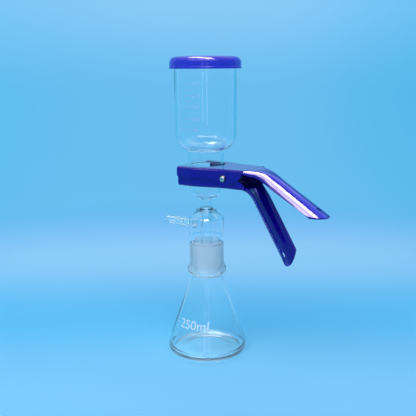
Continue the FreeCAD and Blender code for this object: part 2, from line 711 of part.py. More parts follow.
def torsion_spring():
    """Coil round the rivet with a leg under the upper plate and a leg on the lower one."""
    wire_r = WIRE_D / 2
    up = UPPER_Z - SHEET - LEG_GAP - wire_r - PIVOT_Z
    down = LOWER_Z + SHEET + LEG_GAP + wire_r - PIVOT_Z
    first = tangent_point((UPPER_LEG, up), (0, 0), COIL_R, 1)
    last = tangent_point((LOWER_LEG, down), (0, 0), COIL_R, -1)
    start_angle = math.atan2(first[1], first[0])
    end_angle = math.atan2(last[1], last[0])
    turns = COIL_TURNS + ((end_angle - start_angle) / (2 * math.pi)) % 1.0
    height = COIL_PITCH * turns
    rise = COIL_PITCH / (2 * math.pi * COIL_R)
    coil = Part.makeHelix(COIL_PITCH, height, COIL_R)
    coil.rotate(V(0, 0, 0), V(0, 0, 1), math.degrees(start_angle))
    first_drop = rise * math.hypot(UPPER_LEG - first[0], up - first[1])
    last_rise = rise * math.hypot(LOWER_LEG - last[0], down - last[1])
    leg_in = Part.LineSegment(V(UPPER_LEG, up, -first_drop), V(*first, 0)).toShape()
    leg_out = Part.LineSegment(V(*last, height), V(LOWER_LEG, down, height + last_rise)).toShape()
    path = Part.Wire([leg_in] + coil.Edges + [leg_out])
    start = leg_in.Vertexes[0].Point
    section = Part.Wire(Part.makeCircle(wire_r, start, leg_in.tangentAt(leg_in.FirstParameter)))
    spring = path.makePipeShell([section], True, True)
    spring.translate(V(0, 0, -height / 2))
    spring.rotate(V(0, 0, 0), V(1, 0, 0), 90)
    spring.translate(V(PIVOT_X, 0, PIVOT_Z))
    return spring


# ---------------------------------------------------------------- build
PIECES = {
    "flask": flask,
    "filter_head": filter_head,
    "fritted_disc": fritted_disc,
    "membrane_filter": membrane_filter,
    "funnel_cup": funnel_cup,
    "funnel_lid": funnel_lid,
    "clamp_upper_jaw": clamp_upper_jaw,
    "clamp_lower_jaw": clamp_lower_jaw,
    "pivot_rivet": pivot_rivet,
    "torsion_spring": torsion_spring,
}

os.makedirs("parts", exist_ok=True)
for name, make in PIECES.items():
    shape = make()
    if shape.ShapeType != "Solid" and len(shape.Solids) == 1:
        shape = shape.Solids[0]
    shape.exportStep("parts/" + name + ".step")
    box = shape.BoundBox
    print(name, shape.ShapeType, "valid" if shape.isValid() else "INVALID",
          "solids", len(shape.Solids), "volume", round(shape.Volume, 1),
          "x", round(box.XMin, 2), round(box.XMax, 2), "y", round(box.YMin, 2), round(box.YMax, 2),
          "z", round(box.ZMin, 2), round(box.ZMax, 2))
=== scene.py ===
"""Looks of the vacuum filtration unit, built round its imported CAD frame.

Metres, in the frame's own axes.
"""
import json
import math

import bmesh
import bpy
from mathutils import Matrix, Vector


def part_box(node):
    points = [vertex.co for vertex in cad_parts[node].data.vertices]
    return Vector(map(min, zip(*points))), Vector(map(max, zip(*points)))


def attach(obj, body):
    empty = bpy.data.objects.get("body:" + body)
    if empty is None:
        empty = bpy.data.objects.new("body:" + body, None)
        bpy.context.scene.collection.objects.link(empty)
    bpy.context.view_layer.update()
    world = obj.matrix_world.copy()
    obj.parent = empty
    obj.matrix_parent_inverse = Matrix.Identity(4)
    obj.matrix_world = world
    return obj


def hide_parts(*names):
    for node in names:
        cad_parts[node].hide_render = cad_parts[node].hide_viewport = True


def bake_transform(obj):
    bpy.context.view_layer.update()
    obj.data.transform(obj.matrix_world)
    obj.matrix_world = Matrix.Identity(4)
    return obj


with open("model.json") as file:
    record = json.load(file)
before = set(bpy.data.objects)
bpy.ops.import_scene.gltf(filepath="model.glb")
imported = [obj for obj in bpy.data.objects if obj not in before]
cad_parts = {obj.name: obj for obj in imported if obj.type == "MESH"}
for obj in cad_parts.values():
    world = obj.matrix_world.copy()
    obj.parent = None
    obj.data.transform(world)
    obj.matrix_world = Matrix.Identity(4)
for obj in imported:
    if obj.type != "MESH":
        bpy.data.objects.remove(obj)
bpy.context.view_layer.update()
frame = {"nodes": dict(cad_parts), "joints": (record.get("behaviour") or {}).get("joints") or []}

MM = 0.001

# ---------------------------------------------------------------- the frame's own places
flask_low, flask_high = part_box("flask")
head_low, head_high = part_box("filter_head")
cup_low, cup_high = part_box("funnel_cup")
lid_low, lid_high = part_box("funnel_lid")
frit_low, frit_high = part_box("fritted_disc")
PIVOT = Vector(frame["joints"][0]["pos_m"])

# ---------------------------------------------------------------- sizes that a box can't give
# flask: foot, pushed-up base, cone and shoulder
BASE_R = (flask_high.x - flask_low.x) / 2
FOOT_Z = flask_low.z + 0.05 * MM
FOOT_INNER_R = 34.5 * MM
FOOT_OUTER_R = 39.5 * MM
UNDERSIDE_R = 24.0 * MM
UNDERSIDE_Z = 0.9 * MM
UNDERSIDE_TOP_Z = 1.3 * MM
FLOOR_R = 27.0 * MM
FLOOR_LOW_Z = 2.9 * MM
FLOOR_Z = 3.0 * MM
FLOOR_TOP_Z = 3.6 * MM
FLASK_WALL = 2.2 * MM
SHOULDER_Z = 12.5 * MM
# ground joint, its taper as radius over height, and the bead under it
MOUTH_Z = flask_high.z
MOUTH_R = 17.25 * MM
SOCKET_WALL = 2.6 * MM
TAPER = 0.05
JOINT_TOP_Z = MOUTH_Z + 3.0 * MM
JOINT_GAP = 0.10 * MM
BEAD_Z = head_low.z - 2.0 * MM
BEAD_R = MOUTH_R + SOCKET_WALL + 2.5 * MM
BEAD_BAND = 4.5 * MM
BEAD_HEIGHT = 10.0 * MM
BEAD_TO_CONE = 4.6 * MM
CONE_TOP_WALL = 1.75 * MM
# filter head: jacket, ring seal and stem
JACKET_WALL = 2.2 * MM
JACKET_STEP = 2.45 * MM
JACKET_STEP_HEIGHT = 5.0 * MM
RING_Z = JOINT_TOP_Z + 33.5 * MM
RING_R = 11.7 * MM
RING_BAND = 1.0 * MM
RING_BRIM = 2.6 * MM
RING_RISE = 4.0 * MM
DOME_DROP = 6.0 * MM
STEM_R = 6.25 * MM
STEM_WALL = 2.0 * MM
DRIP_Z = MOUTH_Z - 28.0 * MM
DRIP_SLOPE = math.tan(math.radians(30.0))
DRIP_REACH = 2.0 * MM
# filter head: chamber, frit's seat and flange
SEAL_Z = head_high.z
FLANGE_R = head_high.y
UNDER_FLANGE_Z = SEAL_Z - 9.3 * MM
CHAMBER_R = 15.3 * MM
CHAMBER_Z = SEAL_Z - 24.5 * MM
THROAT_Z = SEAL_Z - 30.3 * MM
NECK_R = 20.5 * MM
RECESS_R = frit_high.x + 0.1 * MM
LEDGE_R = frit_high.x - 1.8 * MM
# hose connection
ARM_Z = JOINT_TOP_Z + 17.4 * MM
ARM_R = 4.2 * MM
ARM_TIP_R = 3.8 * MM
ARM_BORE_R = 2.3 * MM
ARM_FLARE = 1.8 * MM
ARM_FLARE_LENGTH = 5.5 * MM
ARM_ROOT_SHARE = 0.6
BARB_R = 5.3 * MM
BARB_TIP_R = 4.4 * MM
BARB_COUNT = 6
BARB_LENGTH = 29.0 * MM
BARB_FACE_SHARE = 0.24
# funnel cup
CUP_R = cup_high.x
CUP_WALL = 2.2 * MM
CUP_FLANGE_Z = cup_low.z + 8.7 * MM
BOWL_Z = SEAL_Z + 26.5 * MM
BOWL_RISE = 7.0 * MM
BOWL_CURVE = 19.45 * MM
NECK_CURVE = 5.0 * MM
# lid; the crown's outline is given at shares of its radius
LID_CROWN = 2.0 * MM
LID_WALL = 4.2 * MM
LID_LIP = 0.5 * MM
LID_LIP_TOP = 2.2 * MM
LID_LIP_EDGE = 2.0 * MM
CROWN_SHARES = (0.0, 0.2, 0.4, 0.55, 0.7)

# How finely the outlines are turned and rounded
TURN_STEPS = 192
ARM_STEPS = 72
ARC_STEP = math.radians(7.0)
SUPPORT = 0.35 * MM
ON_AXIS = 1e-7
SHARP_ANGLE = math.radians(32)
LEAST_CURVE = 0.3 * MM

# Surfaces of a glass piece, in the order of its materials
CLEAR, GROUND, WORN = 0, 1, 2


# ---------------------------------------------------------------- outlines and turned meshes
def unit(a, b):
    """Direction from a to b."""
    length = math.hypot(b[0] - a[0], b[1] - a[1])
    return (b[0] - a[0]) / length, (b[1] - a[1]) / length


def corner_arc(before, corner, after):
    """Points of the arc that rounds a corner between the corners before and after it."""
    x, z, radius = corner[:3]
    back = unit((x, z), before)
    ahead = unit((x, z), after)
    cosine = back[0] * ahead[0] + back[1] * ahead[1]
    half = math.acos(max(-1.0, min(1.0, cosine))) / 2
    run = radius / math.tan(half)
    middle = unit((0, 0), (back[0] + ahead[0], back[1] + ahead[1]))
    reach = radius / math.sin(half)
    centre = (x + middle[0] * reach, z + middle[1] * reach)
    start = (x + back[0] * run - centre[0], z + back[1] * run - centre[1])
    end = (x + ahead[0] * run - centre[0], z + ahead[1] * run - centre[1])
    swept = math.atan2(start[0] * end[1] - start[1] * end[0],
                       start[0] * end[0] + start[1] * end[1])
    steps = max(2, math.ceil(abs(swept) / ARC_STEP))
    arc = []
    for k in range(steps + 1):
        turn = swept * k / steps
        cos, sin = math.cos(turn), math.sin(turn)
        arc.append((centre[0] + start[0] * cos - start[1] * sin,
                    centre[1] + start[0] * sin + start[1] * cos))
    return arc


def finish_after(corner):
    """Surface of the run that follows a corner."""
    return corner[3] if len(corner) > 3 else CLEAR


def rounded(corners, closed):
    """Points through corners, each (radius, z, corner radius) and perhaps the finish of the run
    that follows, with arcs at the corners and a point close to each end of a straight run, so that
    smooth shading stays true along it.  Returns the points, and the finish of what follows each."""
    n = len(corners)
    spans = []
    for i, corner in enumerate(corners):
        if corner[2] == 0 or not (closed or 0 < i < n - 1):
            spans.append([corner[:2]])
        else:
            spans.append(corner_arc(corners[i - 1], corner, corners[(i + 1) % n]))
    points, finishes = [], []
    for i, span in enumerate(spans):
        finish = finish_after(corners[i])
        points += span
        finishes += [finish_after(corners[i - 1])] * (len(span) - 1) + [finish]
        if i == n - 1 and not closed:
            break
        a, b = span[-1], spans[(i + 1) % n][0]
        length = math.hypot(b[0] - a[0], b[1] - a[1])
        if length > 4 * SUPPORT:
            way = unit(a, b)
            for reach in (SUPPORT, length - SUPPORT):
                points.append((a[0] + way[0] * reach, a[1] + way[1] * reach))
                finishes.append(finish)
    return points, finishes


def turned(name, corners, materials, closed=True, steps=TURN_STEPS):
    """Mesh of revolution about Z.  An open outline starts and ends on the axis."""
    points, finishes = rounded(corners, closed)
    mesh = bpy.data.meshes.new(name)
    shape = bmesh.new()
    rings = []
    for radius, z in points:
        if radius < ON_AXIS:
            rings.append([shape.verts.new((0, 0, z))])
            continue
        ring = []
        for k in range(steps):
            angle = 2 * math.pi * k / steps
            x, y = radius * math.cos(angle), radius * math.sin(angle)
            ring.append(shape.verts.new((x, y, z)))
        rings.append(ring)
    pairs = len(rings) if closed else len(rings) - 1
    for i in range(pairs):
        low, high = rings[i], rings[(i + 1) % len(rings)]
        for k in range(steps):
            after = (k + 1) % steps
            if len(low) == 1:
                face = shape.faces.new((low[0], high[k], high[after]))
            elif len(high) == 1:
                face = shape.faces.new((low[k], high[0], low[after]))
            else:
                face = shape.faces.new((low[k], high[k], high[after], low[after]))
            face.material_index = finishes[i]
    bmesh.ops.recalc_face_normals(shape, faces=shape.faces)
    shape.to_mesh(mesh)
    shape.free()
    return finished(name, mesh, materials)


def finished(name, mesh, materials, sharp=SHARP_ANGLE):
    """Object of a mesh, shaded smooth except across its sharp edges."""
    for material in materials:
        mesh.materials.append(material)
    mesh.polygons.foreach_set("use_smooth", [True] * len(mesh.polygons))
    mesh.set_sharp_from_angle(angle=sharp)
    piece = bpy.data.objects.new(name, mesh)
    bpy.context.scene.collection.objects.link(piece)
    return piece


def offset(corners, distance):
    """The same open outline moved to its left by distance, its corner radii adjusted to it."""
    moved = []
    for i, (x, z, radius) in enumerate(corners):
        before = unit(corners[i - 1], corners[i]) if i > 0 else None
        after = unit(corners[i], corners[i + 1]) if i < len(corners) - 1 else None
        a, b = before or after, after or before
        turn = a[0] * b[1] - a[1] * b[0]
        shift = distance / (1 + a[0] * b[0] + a[1] * b[1])
        if radius:
            radius = max(LEAST_CURVE, radius - distance if turn > 0 else radius + distance)
        moved.append((x - shift * (a[1] + b[1]), z + shift * (a[0] + b[0]), radius))
    return moved


def joint_r(z):
    """Radius of the ground joint at height z."""
    return MOUTH_R + (z - MOUTH_Z) * TAPER


# ---------------------------------------------------------------- materials
GLASS_IOR = 1.47
# Share of the lamps' light that each kind of glass lets pass into its shadow
GLASS_SHADE = (0.64, 0.67, 0.69)
GROUND_SHADE = (0.96, 0.97, 0.98)
# Share of the light that ground and worn glass scatter
GRINDING = 0.40
WEAR = 0.12
# In millimetres: the rivet keeps its steel colour inside the first radius and is painted near black
# outside the second, a painted shadow of the gap round its head
CROWN_RADIUS_MM = 2.4
GAP_SHADOW_RADIUS_MM = 3.6
# Where a colour ramp starts and ends on a noise's factor
RAMP_START = 0.3
RAMP_END = 0.7


def new_material(name):
    """Material with a principled shader; returns it, its nodes, links, shader and output."""
    material = bpy.data.materials.new(name)
    material.use_nodes = True
    nodes, links = material.node_tree.nodes, material.node_tree.links
    nodes.clear()
    output = nodes.new("ShaderNodeOutputMaterial")
    shader = nodes.new("ShaderNodeBsdfPrincipled")
    links.new(shader.outputs["BSDF"], output.inputs["Surface"])
    return material, nodes, links, shader, output


def noise(nodes, links, scale, detail=3.0, stretch=(1, 1, 1)):
    """Noise in the object's own coordinates; returns its factor output."""
    place = nodes.new("ShaderNodeTexCoord")
    mapping = nodes.new("ShaderNodeMapping")
    mapping.inputs["Scale"].default_value = stretch
    texture = nodes.new("ShaderNodeTexNoise")
    texture.inputs["Scale"].default_value = scale
    texture.inputs["Detail"].default_value = detail
    links.new(place.outputs["Object"], mapping.inputs["Vector"])
    links.new(mapping.outputs["Vector"], texture.inputs["Vector"])
    return texture.outputs["Fac"]


def ramp(nodes, links, factor, low, high):
    """Colour that goes from low to high across a noise's factor."""
    node = nodes.new("ShaderNodeValToRGB")
    node.color_ramp.elements[0].position = RAMP_START
    node.color_ramp.elements[0].color = (*low, 1)
    node.color_ramp.elements[1].position = RAMP_END
    node.color_ramp.elements[1].color = (*high, 1)
    links.new(factor, node.inputs["Fac"])
    return node.outputs["Color"]


def spread(nodes, links, factor, low, high):
    """Number that goes from low to high with the factor."""
    node = nodes.new("ShaderNodeMapRange")
    node.inputs["To Min"].default_value = low
    node.inputs["To Max"].default_value = high
    links.new(factor, node.inputs["Value"])
    return node.outputs["Result"]


def bump(nodes, links, shader, height, distance):
    """Fine relief of a surface, as deep as distance."""
    node = nodes.new("ShaderNodeBump")
    node.inputs["Strength"].default_value = 1.0
    node.inputs["Distance"].default_value = distance
    links.new(height, node.inputs["Height"])
    links.new(node.outputs["Normal"], shader.inputs["Normal"])


def light_passes(nodes, links, shader, output, tint, socket="BSDF"):
    """Lets the lamps' light through, as real glass does, so that it throws only a faint shadow."""
    path = nodes.new("ShaderNodeLightPath")
    clear = nodes.new("ShaderNodeBsdfTransparent")
    clear.inputs["Color"].default_value = (*tint, 1)
    mix = nodes.new("ShaderNodeMixShader")
    links.new(path.outputs["Is Shadow Ray"], mix.inputs["Fac"])
    links.new(shader.outputs[socket], mix.inputs[1])
    links.new(clear.outputs["BSDF"], mix.inputs[2])
    links.new(mix.outputs["Shader"], output.inputs["Surface"])


def clear_glass():
    """Blown borosilicate glass: nearly colourless, with the slight waviness of hand work."""
    material, nodes, links, shader, output = new_material("clear_glass")
    wave = noise(nodes, links, 45.0, 1.0, (1, 1, 0.35))
    shader.inputs["Base Color"].default_value = (0.985, 0.996, 0.998, 1)
    links.new(spread(nodes, links, wave, 0.0, 0.015), shader.inputs["Roughness"])
    shader.inputs["IOR"].default_value = GLASS_IOR
    shader.inputs["Transmission Weight"].default_value = 1.0
    bump(nodes, links, shader, wave, 0.0003)
    light_passes(nodes, links, shader, output, GLASS_SHADE)
    return material


def ground_glass(name, grinding, shade):
    """Glass made matt by grinding or wear, so that a part of the light scatters both ways."""
    material, nodes, links, shader, output = new_material(name)
    grain = noise(nodes, links, 5200.0, 4.0)
    shader.inputs["Base Color"].default_value = (0.96, 0.97, 0.98, 1)
    rough = spread(nodes, links, grain, 0.8 * grinding, 1.2 * grinding)
    links.new(rough, shader.inputs["Roughness"])
    shader.inputs["IOR"].default_value = GLASS_IOR
    shader.inputs["Transmission Weight"].default_value = 1.0
    bump(nodes, links, shader, grain, 0.00001)
    matt = nodes.new("ShaderNodeBsdfDiffuse")
    frosting = ramp(nodes, links, grain, (0.78, 0.89, 0.95), (0.90, 0.97, 0.99))
    links.new(frosting, matt.inputs["Color"])
    through = nodes.new("ShaderNodeBsdfTranslucent")
    through.inputs["Color"].default_value = (0.88, 0.95, 0.99, 1)
    scatter = nodes.new("ShaderNodeMixShader")
    scatter.inputs["Fac"].default_value = 0.5
    links.new(matt.outputs["BSDF"], scatter.inputs[1])
    links.new(through.outputs["BSDF"], scatter.inputs[2])
    frost = nodes.new("ShaderNodeMixShader")
    frost.inputs["Fac"].default_value = grinding
    links.new(shader.outputs["BSDF"], frost.inputs[1])
    links.new(scatter.outputs["Shader"], frost.inputs[2])
    light_passes(nodes, links, frost, output, shade, "Shader")
    return material


def lid_plastic():
    """Glossy moulded plastic of the lid."""
    material, nodes, links, shader, output = new_material("lid_plastic")
    cloud = noise(nodes, links, 30.0, 2.0)
    shade = ramp(nodes, links, cloud, (0.030, 0.028, 0.44), (0.038, 0.036, 0.52))
    links.new(shade, shader.inputs["Base Color"])
    peel = noise(nodes, links, 420.0, 2.0)
    links.new(spread(nodes, links, peel, 0.04, 0.07), shader.inputs["Roughness"])
    shader.inputs["IOR"].default_value = 1.42
    bump(nodes, links, shader, peel, 0.00001)
    return material


def clamp_paint():
    """Dark blue gloss enamel on the pressed sheet."""
    material, nodes, links, shader, output = new_material("clamp_paint")
    cloud = noise(nodes, links, 26.0, 3.0)
    shade = ramp(nodes, links, cloud, (0.0060, 0.0006, 0.190), (0.0080, 0.0012, 0.215))
    links.new(shade, shader.inputs["Base Color"])
    peel = noise(nodes, links, 380.0, 2.0)
    links.new(spread(nodes, links, peel, 0.06, 0.10), shader.inputs["Roughness"])
    shader.inputs["IOR"].default_value = 1.8
    shader.inputs["Specular Tint"].default_value = (0.22, 0.17, 0.50, 1)
    shader.inputs["Coat Weight"].default_value = 0.35
    shader.inputs["Coat Roughness"].default_value = 0.03
    bump(nodes, links, shader, peel, 0.000004)
    return material


def bright_steel():
    """Drawn steel wire of the spring."""
    material, nodes, links, shader, output = new_material("bright_steel")
    smear = noise(nodes, links, 260.0, 4.0, (1, 0.2, 1))
    shade = ramp(nodes, links, smear, (0.527, 0.544, 0.5695), (0.62, 0.64, 0.67))
    links.new(shade, shader.inputs["Base Color"])
    links.new(spread(nodes, links, smear, 0.154, 0.308), shader.inputs["Roughness"])
    shader.inputs["Metallic"].default_value = 1.0
    bump(nodes, links, shader, smear, 0.00003)
    return material


def rivet_steel():
    """Bright steel crown of the rivet; its rim is painted near black, a painted shadow of the gap
    round its head.
    """
    material, nodes, links, shader, output = new_material("rivet_steel")
    place = nodes.new("ShaderNodeTexCoord")
    centred = nodes.new("ShaderNodeVectorMath")
    centred.operation = "SUBTRACT"
    centred.inputs[1].default_value = PIVOT
    flat = nodes.new("ShaderNodeVectorMath")
    flat.operation = "MULTIPLY"
    flat.inputs[1].default_value = (1 / MM, 0, 1 / MM)
    out = nodes.new("ShaderNodeVectorMath")
    out.operation = "LENGTH"
    links.new(place.outputs["Object"], centred.inputs[0])
    links.new(centred.outputs["Vector"], flat.inputs[0])
    links.new(flat.outputs["Vector"], out.inputs[0])
    rim = nodes.new("ShaderNodeMapRange")
    rim.inputs["From Min"].default_value = CROWN_RADIUS_MM
    rim.inputs["From Max"].default_value = GAP_SHADOW_RADIUS_MM
    links.new(out.outputs["Value"], rim.inputs["Value"])
    smear = noise(nodes, links, 700.0, 4.0)
    shade = nodes.new("ShaderNodeMix")
    shade.data_type = "RGBA"
    links.new(rim.outputs["Result"], shade.inputs["Factor"])
    crown = ramp(nodes, links, smear, (0.50, 0.46, 0.43), (0.66, 0.61, 0.57))
    links.new(crown, shade.inputs["A"])
    # Painted shadow of the gap round the rivet's head
    painted_gap_shadow = ramp(nodes, links, smear, (0.012, 0.014, 0.030), (0.030, 0.034, 0.055))
    links.new(painted_gap_shadow, shade.inputs["B"])
    links.new(shade.outputs["Result"], shader.inputs["Base Color"])
    links.new(spread(nodes, links, smear, 0.16, 0.30), shader.inputs["Roughness"])
    shader.inputs["Metallic"].default_value = 1.0
    return material


def sintered_glass():
    """Pressed and sintered glass grains of the frit."""
    material, nodes, links, shader, output = new_material("sintered_glass")
    grain = noise(nodes, links, 1800.0, 5.0)
    shade = ramp(nodes, links, grain, (0.70, 0.73, 0.74), (0.86, 0.88, 0.88))
    links.new(shade, shader.inputs["Base Color"])
    shader.inputs["Roughness"].default_value = 0.9
    bump(nodes, links, shader, grain, 0.0001)
    return material


def membrane_sheet():
    """White cellulose membrane."""
    material, nodes, links, shader, output = new_material("membrane_sheet")
    fibre = noise(nodes, links, 900.0, 3.0)
    shade = ramp(nodes, links, fibre, (0.86, 0.86, 0.85), (0.93, 0.93, 0.92))
    links.new(shade, shader.inputs["Base Color"])
    shader.inputs["Roughness"].default_value = 0.75
    bump(nodes, links, shader, fibre, 0.00003)
    return material


def print_enamel(name, colour, cover):
    """Enamel fired on thinly and slightly worn, which covers the glass by a share."""
    material, nodes, links, shader, output = new_material(name)
    worn = noise(nodes, links, 900.0, 3.0)
    shade = ramp(nodes, links, worn, tuple(0.88 * v for v in colour), colour)
    links.new(shade, shader.inputs["Base Color"])
    links.new(spread(nodes, links, worn, 0.45, 0.7), shader.inputs["Roughness"])
    links.new(spread(nodes, links, worn, 0.8 * cover, 1.2 * cover), shader.inputs["Alpha"])
    return material


# ---------------------------------------------------------------- glass pieces and lid
# In an outline, the third number of a corner is the radius that rounds it.
def flask_cone():
    """Where the flask's outer cone ends below the bead, as radius and height."""
    return joint_r(BEAD_Z) + CONE_TOP_WALL, BEAD_Z - BEAD_TO_CONE


def make_flask(glass, ground, worn):
    """Conical flask: pushed-up base, its underside dulled by wear, rounded heel, cone, bead and
    ground socket.  It stands a hair above the bench, as glass on paper makes no optical contact."""
    socket_r = MOUTH_R + SOCKET_WALL
    neck_r, neck_z = flask_cone()
    wall = [(BASE_R, FOOT_Z, 5.0 * MM),
            (BASE_R, SHOULDER_Z, 14.0 * MM),
            (neck_r, neck_z, 1.5 * MM)]
    top, shoulder, heel = offset(wall, FLASK_WALL)[::-1]
    base = [(0, UNDERSIDE_TOP_Z, 0, WORN),
            (UNDERSIDE_R, UNDERSIDE_Z, 20.0 * MM, WORN),
            (FOOT_INNER_R, FOOT_Z, 3.0 * MM, WORN),
            (FOOT_OUTER_R, FOOT_Z, 0, WORN)]
    socket = [(BEAD_R, BEAD_Z, 3.5 * MM),
              (BEAD_R, BEAD_Z + BEAD_BAND, 3.5 * MM),
              (socket_r, BEAD_Z + BEAD_HEIGHT, 8.0 * MM),
              (socket_r, MOUTH_Z, 0.9 * MM),
              (MOUTH_R, MOUTH_Z, 0.4 * MM, GROUND),
              (joint_r(head_low.z), head_low.z, 0, GROUND),
              (joint_r(BEAD_Z), BEAD_Z, 1.2 * MM)]
    inside = [(top[0], top[1], 3.0 * MM),
              shoulder,
              (heel[0], FLOOR_LOW_Z, 8.0 * MM),
              (FLOOR_R, FLOOR_Z, 20.0 * MM),
              (0, FLOOR_TOP_Z, 0)]
    outline = base + wall + socket + inside
    return turned("flask_glass", outline, [glass, ground, worn], closed=False)


def jacket_r():
    """Outer radius of the jacket above the ground joint."""
    return joint_r(JOINT_TOP_Z) + JACKET_STEP


def jacket_wall():
    """Outer face of the jacket, from its step up over the dome and the ring seal to the stem."""
    dome_z = RING_Z - RING_BAND
    return [(jacket_r(), JOINT_TOP_Z + JACKET_STEP_HEIGHT, 3.5 * MM),
            (jacket_r(), dome_z - DOME_DROP, 6.5 * MM),
            (RING_R, dome_z, 0.8 * MM),
            (RING_R, RING_Z + RING_BRIM, 2.4 * MM),
            (STEM_R, RING_Z + RING_RISE, 1.5 * MM)]


def bowl_wall():
    """Outer face of the stem and the chamber above it, up to the flange."""
    return [(STEM_R, DRIP_Z, 0.5 * MM),
            (STEM_R, THROAT_Z, 2.5 * MM),
            (CHAMBER_R, CHAMBER_Z, 6.5 * MM),
            (NECK_R, UNDER_FLANGE_Z, 1.2 * MM)]


def make_head(glass, ground):
    """Filter head: flange, chamber, stem, ring seal, jacket and ground cone, turned as one wall.
    The stem's end is cut at a slant, so that it drips from its lowest point."""
    low_z = head_low.z
    flange = [(RECESS_R, SEAL_Z, 0),
              (FLANGE_R, SEAL_Z, 0.8 * MM),
              (FLANGE_R, UNDER_FLANGE_Z, 1.4 * MM)]
    cone = [(joint_r(JOINT_TOP_Z) - JOINT_GAP, JOINT_TOP_Z, 0.6 * MM, GROUND),
            (joint_r(low_z) - JOINT_GAP, low_z, 0.5 * MM),
            (joint_r(low_z) - JACKET_WALL, low_z, 0.5 * MM),
            (joint_r(JOINT_TOP_Z) - JACKET_WALL, JOINT_TOP_Z, 2.0 * MM)]
    collar_z = RING_Z + RING_BRIM - JACKET_WALL
    collar = [(RING_R - JACKET_WALL, collar_z, 1.0 * MM),
              (STEM_R, collar_z, 0.8 * MM),
              (STEM_R, DRIP_Z, 0.5 * MM)]
    seat = [(LEDGE_R, UNDER_FLANGE_Z, 1.0 * MM),
            (LEDGE_R, frit_low.z, 0),
            (RECESS_R, frit_low.z, 0)]
    outside = flange + bowl_wall()[:0:-1] + jacket_wall()[::-1]
    jacket_inside = offset(jacket_wall(), JACKET_WALL)[:3]
    bowl_inside = offset(bowl_wall(), STEM_WALL)[:3]
    outline = outside + cone + jacket_inside + collar + bowl_inside + seat
    head = turned("head_glass", outline, [glass, ground])
    for vert in head.data.vertices:
        on_stem = math.hypot(vert.co.x, vert.co.y) < STEM_R + 0.01 * MM
        if on_stem and vert.co.z < DRIP_Z + DRIP_REACH:
            vert.co.z += (STEM_R - vert.co.x) * DRIP_SLOPE
    return head


def make_arm(glass):
    """Barbed hose connection, turned about its own axis and laid along -X.  Its root is sunk in the
    jacket's wall, and its barbs grow slimmer toward the tip."""
    length = -head_low.x
    pitch = BARB_LENGTH / BARB_COUNT
    root = jacket_r() - ARM_ROOT_SHARE * JACKET_WALL
    corners = [(ARM_BORE_R, root, 0),
               (ARM_R + ARM_FLARE, root, 0),
               (ARM_R, root + ARM_FLARE_LENGTH, 4.0 * MM)]
    for i in range(BARB_COUNT):
        share = i / (BARB_COUNT - 1)
        crest = BARB_R + share * (BARB_TIP_R - BARB_R)
        valley = ARM_R + share * (ARM_TIP_R - ARM_R)
        start = length - BARB_LENGTH + i * pitch
        corners.append((valley, start, 0.4 * MM))
        corners.append((crest, start + BARB_FACE_SHARE * pitch, 0.5 * MM))
    corners.append((ARM_TIP_R, length, 0.6 * MM))
    corners.append((ARM_BORE_R, length, 0.4 * MM))
    arm = turned("arm_glass", corners, [glass], steps=ARM_STEPS)
    lay = Matrix.Rotation(-math.pi / 2, 4, "Y")
    arm.data.transform(Matrix.Translation((0, 0, ARM_Z)) @ lay)
    return arm


def make_cup(glass):
    """Funnel cup: ground flange, neck, bowl and wall with a fire-polished rim."""
    wall = [(NECK_R, CUP_FLANGE_Z, 1.8 * MM),
            (NECK_R, BOWL_Z, NECK_CURVE),
            (CUP_R, BOWL_Z + BOWL_RISE, BOWL_CURVE),
            (CUP_R, cup_high.z, 0.9 * MM)]
    flange = [(NECK_R - CUP_WALL, cup_low.z, 0.6 * MM),
              (FLANGE_R, cup_low.z, 0.8 * MM),
              (FLANGE_R, CUP_FLANGE_Z, 1.4 * MM)]
    rim, *inside = offset(wall, CUP_WALL)[:0:-1]
    return turned("cup_glass", flange + wall + [(rim[0], rim[1], 0.9 * MM)] + inside, [glass])


def make_lid(plastic):
    """Moulded lid with a crowned top, a rounded edge and a lip round its hem."""
    top = lid_high.z - LID_CROWN
    lip_r = lid_high.x
    skin_r = lip_r - LID_LIP
    bore_r = lip_r - LID_WALL
    rim_z = cup_high.z
    crown = []
    for share in CROWN_SHARES:
        crown.append((share * skin_r, top + (lid_high.z - top) * (1 - share * share), 0))
    corners = [*crown,
               (skin_r, top, 6.5 * MM),
               (skin_r, lid_low.z + LID_LIP_TOP, 0.3 * MM),
               (lip_r, lid_low.z + LID_LIP_EDGE, 0.3 * MM),
               (lip_r, lid_low.z, 0.5 * MM),
               (bore_r, lid_low.z, 0.5 * MM),
               (bore_r, rim_z, 1.5 * MM),
               (0, rim_z, 0)]
    return turned("lid_shell", corners, [plastic], closed=False)


# ---------------------------------------------------------------- printed marks
PRINT_THICK = 0.04 * MM
PRINT_LIFT = 0.02 * MM
SLICE = 0.8 * MM
WELD = 1e-7
# numbers and lines of the cup
VOLUMES = (50, 100, 150, 200, 250)
LONG_VOLUMES = (50, 150)
LABEL_ANGLE = math.radians(-71.0)
LABEL_LOW_Z = cup_low.z + 51.2 * MM
LABEL_STEP = 12.1 * MM
LABEL_HEIGHT = 3.9 * MM
LABEL_WIDTH = 8.6 * MM
LINE_END = math.radians(-78.5)
LINE_WIDTH = 0.5 * MM
LINE_LENGTH = 10.2 * MM
LONG_LINE_LENGTH = 15.6 * MM
HALF_LINE_LENGTH = 5.8 * MM
HALF_LINE_REACH = 4.4 * MM
# capacity of the flask, and the tick before it
CAPACITY = "250ml"
CAPACITY_HEIGHT = 9.8 * MM
CAPACITY_WIDTH = 36.0 * MM
CAPACITY_WEIGHT = 0.004
CAPACITY_ANGLE = math.radians(-80.5)
CAPACITY_Z = 34.6 * MM
TICK_LENGTH = 4.0 * MM
TICK_WIDTH = 0.9 * MM
TICK_ANGLE = math.radians(-120.0)
TICK_Z = 38.5 * MM


